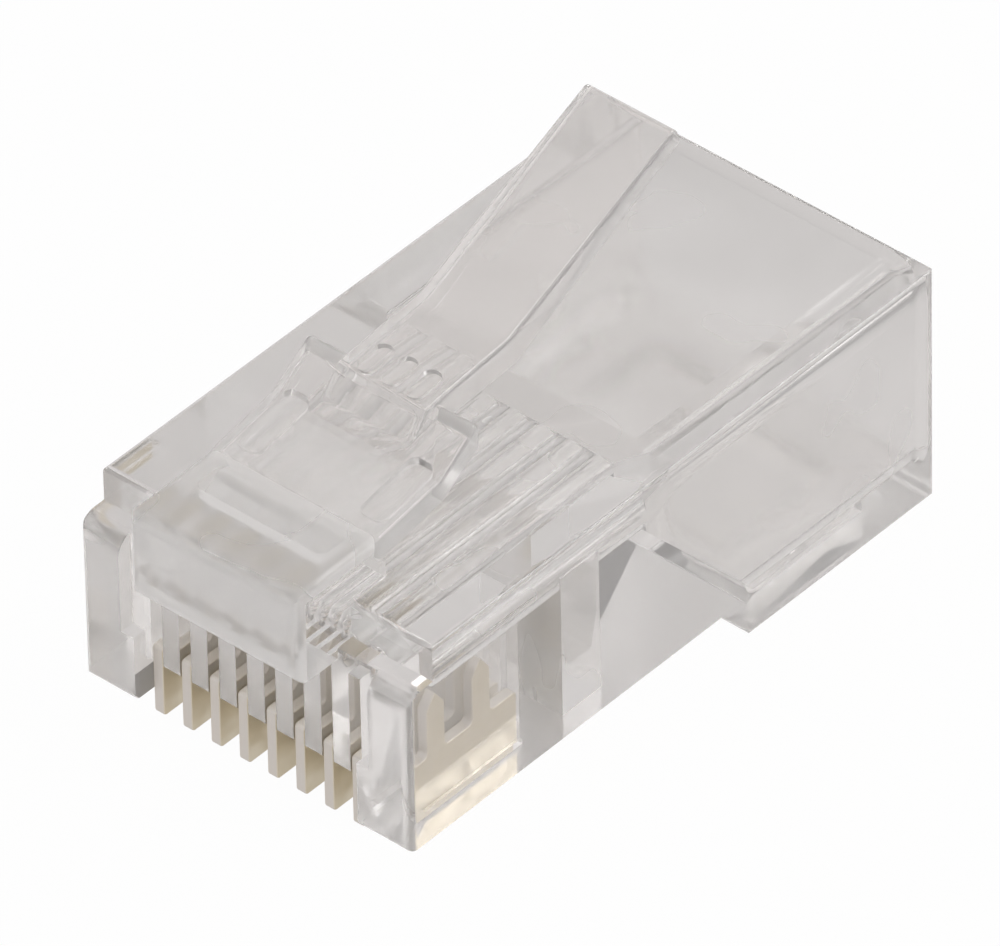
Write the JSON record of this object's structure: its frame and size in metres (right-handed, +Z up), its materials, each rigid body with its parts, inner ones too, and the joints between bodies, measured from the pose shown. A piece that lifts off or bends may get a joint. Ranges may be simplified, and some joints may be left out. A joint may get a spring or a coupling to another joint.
{
  "type": "rj45 modular plug",
  "caption": "Clear modular plug for network cable: sprung latch on top, blade contacts in slots across the nose, cable entry at the back.",
  "frame": {"origin": "centre of the bounding box in plan, on the underside of the block below the cable entry", "axes": "+X across the plug, +Y from the contact end towards the cable entry, +Z up towards the latch"},
  "size_m": [0.0118, 0.023, 0.0141],
  "materials": {
    "clear_plastic": "clear moulded polycarbonate, softly frosted at the latch root",
    "plated_contact": "gold plating over nickel on the blade contacts"
  },
  "bodies": {
    "housing": {"housing": "clear_plastic"},
    "latch": {"latch": "clear_plastic"},
    "conductor_anchor_bar": {"conductor_anchor_bar": "clear_plastic"},
    "strain_relief_bar": {"strain_relief_bar": "clear_plastic"},
    "contact_blade_1": {"contact_blade_1": "plated_contact"},
    "contact_blade_2": {"contact_blade_2": "plated_contact"},
    "contact_blade_3": {"contact_blade_3": "plated_contact"},
    "contact_blade_4": {"contact_blade_4": "plated_contact"},
    "contact_blade_5": {"contact_blade_5": "plated_contact"},
    "contact_blade_6": {"contact_blade_6": "plated_contact"},
    "contact_blade_7": {"contact_blade_7": "plated_contact"},
    "contact_blade_8": {"contact_blade_8": "plated_contact"}
  },
  "joints": [
    {"name": "latch_hinge", "type": "hinge", "parent": "housing", "child": "latch", "pos_m": [0, -0.0079, 0.00903], "axis": [-1, 0, 0], "range_deg": [0, 16], "stiffness_Nm_per_rad": 0.2},
    {"name": "conductor_anchor_press", "type": "slide", "parent": "housing", "child": "conductor_anchor_bar", "axis": [0, 0, 1], "range_m": [0, 0.0006]},
    {"name": "strain_relief_swing", "type": "hinge", "parent": "housing", "child": "strain_relief_bar", "pos_m": [0, 0.0052, 0.00053], "axis": [1, 0, 0], "range_deg": [0, 22]},
    {"name": "contact_press_1", "type": "slide", "parent": "housing", "child": "contact_blade_1", "axis": [0, 0, 1], "range_m": [0, 0.0011]},
    {"name": "contact_press_2", "type": "slide", "parent": "housing", "child": "contact_blade_2", "axis": [0, 0, 1], "range_m": [0, 0.0011]},
    {"name": "contact_press_3", "type": "slide", "parent": "housing", "child": "contact_blade_3", "axis": [0, 0, 1], "range_m": [0, 0.0011]},
    {"name": "contact_press_4", "type": "slide", "parent": "housing", "child": "contact_blade_4", "axis": [0, 0, 1], "range_m": [0, 0.0011]},
    {"name": "contact_press_5", "type": "slide", "parent": "housing", "child": "contact_blade_5", "axis": [0, 0, 1], "range_m": [0, 0.0011]},
    {"name": "contact_press_6", "type": "slide", "parent": "housing", "child": "contact_blade_6", "axis": [0, 0, 1], "range_m": [0, 0.0011]},
    {"name": "contact_press_7", "type": "slide", "parent": "housing", "child": "contact_blade_7", "axis": [0, 0, 1], "range_m": [0, 0.0011]},
    {"name": "contact_press_8", "type": "slide", "parent": "housing", "child": "contact_blade_8", "axis": [0, 0, 1], "range_m": [0, 0.0011]}
  ]
}
